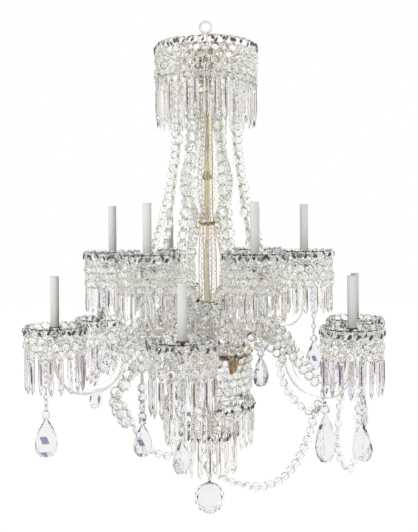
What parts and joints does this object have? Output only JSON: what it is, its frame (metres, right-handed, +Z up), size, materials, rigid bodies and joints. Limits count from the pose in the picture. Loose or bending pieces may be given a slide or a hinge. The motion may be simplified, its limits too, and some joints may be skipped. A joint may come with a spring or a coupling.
{
  "type": "crystal chandelier",
  "caption": "Tiered crystal chandelier: a beaded crown, two rings of swan-neck glass arms with candle sleeves and fringed pans, and a prism basket with a ball drop.",
  "frame": {"origin": "centre of the hanging loop's bore, at the top of the stem", "axes": "+Z up along the stem, -Y towards the front seen in the picture, +X to the right; the loop's bore runs along Y"},
  "size_m": [0.9525, 0.9832, 1.3536],
  "materials": {
    "cut_crystal": "polished cut lead crystal, bright edges with dark glints",
    "blown_glass": "clear glass, glossy",
    "gilt_brass": "lacquered gilt brass, slightly aged",
    "silvered_brass": "silver plated, softly polished",
    "dark_bronze": "dark patinated",
    "candle_sleeve": "matte off-white",
    "lampholder": "black moulded",
    "lamp_wire": "clear gold insulation, slightly glossy"
  },
  "bodies": {
    "chandelier": {"arm_clip": "silvered_brass", "basket_prisms_low": "cut_crystal", "basket_prisms_middle": "cut_crystal", "basket_prisms_top": "cut_crystal", "basket_ring_low": "silvered_brass", "basket_ring_middle": "silvered_brass", "bead_chains": "cut_crystal", "bead_swags": "cut_crystal", "bottom_finial": "gilt_brass", "candle_cups": "cut_crystal", "crown_bead_net": "cut_crystal", "crown_frame": "gilt_brass", "crown_gallery": "dark_bronze", "crown_lower_ring": "silvered_brass", "crown_prisms": "cut_crystal", "crown_top_disc": "gilt_brass", "drop_pins": "silvered_brass", "hanging_loop": "gilt_brass", "hub_bowl": "blown_glass", "lamp_wires": "lamp_wire", "lampholders": "lampholder", "lower_arm_1": "blown_glass", "lower_arm_2": "blown_glass", "lower_arm_3": "blown_glass", "lower_arm_4": "blown_glass", "lower_arm_5": "blown_glass", "lower_arm_6": "blown_glass", "lower_arm_plate": "gilt_brass", "lower_pan_prisms": "cut_crystal", "lower_pans": "cut_crystal", "lower_sleeves": "candle_sleeve", "stem_baluster": "blown_glass", "stem_disc": "gilt_brass", "stem_rod": "gilt_brass", "stem_spindle": "blown_glass", "upper_arm_1": "blown_glass", "upper_arm_2": "blown_glass", "upper_arm_3": "blown_glass", "upper_arm_4": "blown_glass", "upper_arm_5": "blown_glass", "upper_arm_6": "blown_glass", "upper_arm_plate": "blown_glass", "upper_pan_prisms": "cut_crystal", "upper_pans": "cut_crystal", "upper_sleeves": "candle_sleeve", "wire_tie": "gilt_brass"},
    "upper_pear_drop_1": {"upper_pear_drop_1": "cut_crystal"},
    "upper_pear_drop_2": {"upper_pear_drop_2": "cut_crystal"},
    "upper_pear_drop_3": {"upper_pear_drop_3": "cut_crystal"},
    "upper_pear_drop_4": {"upper_pear_drop_4": "cut_crystal"},
    "upper_pear_drop_5": {"upper_pear_drop_5": "cut_crystal"},
    "upper_pear_drop_6": {"upper_pear_drop_6": "cut_crystal"},
    "lower_pear_drop_1": {"lower_pear_drop_1": "cut_crystal"},
    "lower_pear_drop_2": {"lower_pear_drop_2": "cut_crystal"},
    "lower_pear_drop_3": {"lower_pear_drop_3": "cut_crystal"},
    "lower_pear_drop_4": {"lower_pear_drop_4": "cut_crystal"},
    "lower_pear_drop_5": {"lower_pear_drop_5": "cut_crystal"},
    "lower_pear_drop_6": {"lower_pear_drop_6": "cut_crystal"},
    "arm_pear_drop": {"arm_pear_drop": "cut_crystal"},
    "ball_drop": {"ball_drop": "cut_crystal"}
  },
  "joints": [
    {"name": "upper_pear_drop_1_swing", "type": "hinge", "parent": "chandelier", "child": "upper_pear_drop_1", "pos_m": [-0.16105, -0.23876, -0.664], "axis": [-0.5592, -0.829, 0], "range_deg": [-10, 10]},
    {"name": "upper_pear_drop_2_swing", "type": "hinge", "parent": "chandelier", "child": "upper_pear_drop_2", "pos_m": [0.12625, -0.25885, -0.664], "axis": [0.4384, -0.8988, 0], "range_deg": [-15, 15]},
    {"name": "upper_pear_drop_3_swing", "type": "hinge", "parent": "chandelier", "child": "upper_pear_drop_3", "pos_m": [0.2873, -0.02009, -0.664], "axis": [0.9976, -0.0698, 0], "range_deg": [-15, 15]},
    {"name": "upper_pear_drop_4_swing", "type": "hinge", "parent": "chandelier", "child": "upper_pear_drop_4", "pos_m": [0.16105, 0.23876, -0.664], "axis": [0.5592, 0.829, 0], "range_deg": [-15, 15]},
    {"name": "upper_pear_drop_5_swing", "type": "hinge", "parent": "chandelier", "child": "upper_pear_drop_5", "pos_m": [-0.12625, 0.25885, -0.664], "axis": [-0.4384, 0.8988, 0], "range_deg": [-15, 15]},
    {"name": "upper_pear_drop_6_swing", "type": "hinge", "parent": "chandelier", "child": "upper_pear_drop_6", "pos_m": [-0.2873, 0.02009, -0.664], "axis": [-0.9976, 0.0698, 0], "range_deg": [-15, 15]},
    {"name": "lower_pear_drop_1_swing", "type": "hinge", "parent": "chandelier", "child": "lower_pear_drop_1", "pos_m": [-0.05872, -0.4401, -0.846], "axis": [-0.1323, -0.9912, 0], "range_deg": [-15, 15]},
    {"name": "lower_pear_drop_2_swing", "type": "hinge", "parent": "chandelier", "child": "lower_pear_drop_2", "pos_m": [0.37237, -0.24182, -0.846], "axis": [0.8387, -0.5446, 0], "range_deg": [-15, 15]},
    {"name": "lower_pear_drop_3_swing", "type": "hinge", "parent": "chandelier", "child": "lower_pear_drop_3", "pos_m": [0.43968, 0.06179, -0.858], "axis": [0.9903, 0.1392, 0], "range_deg": [-15, 15]},
    {"name": "lower_pear_drop_4_swing", "type": "hinge", "parent": "chandelier", "child": "lower_pear_drop_4", "pos_m": [0.05872, 0.4401, -0.846], "axis": [0.1323, 0.9912, 0], "range_deg": [-15, 15]},
    {"name": "lower_pear_drop_5_swing", "type": "hinge", "parent": "chandelier", "child": "lower_pear_drop_5", "pos_m": [-0.35178, 0.2709, -0.876], "axis": [-0.7923, 0.6101, 0], "range_deg": [-15, 15]},
    {"name": "lower_pear_drop_6_swing", "type": "hinge", "parent": "chandelier", "child": "lower_pear_drop_6", "pos_m": [-0.4105, -0.1692, -0.846], "axis": [-0.9245, -0.3811, 0], "range_deg": [-15, 15]},
    {"name": "arm_pear_drop_swing", "type": "hinge", "parent": "chandelier", "child": "arm_pear_drop", "pos_m": [0.29102, -0.18899, -0.991], "axis": [0.8387, -0.5446, 0], "range_deg": [-15, 15]},
    {"name": "ball_drop_swing", "type": "hinge", "parent": "chandelier", "child": "ball_drop", "pos_m": [0, 0, -1.242], "axis": [1, 0, 0], "range_deg": [-30, 30]}
  ]
}
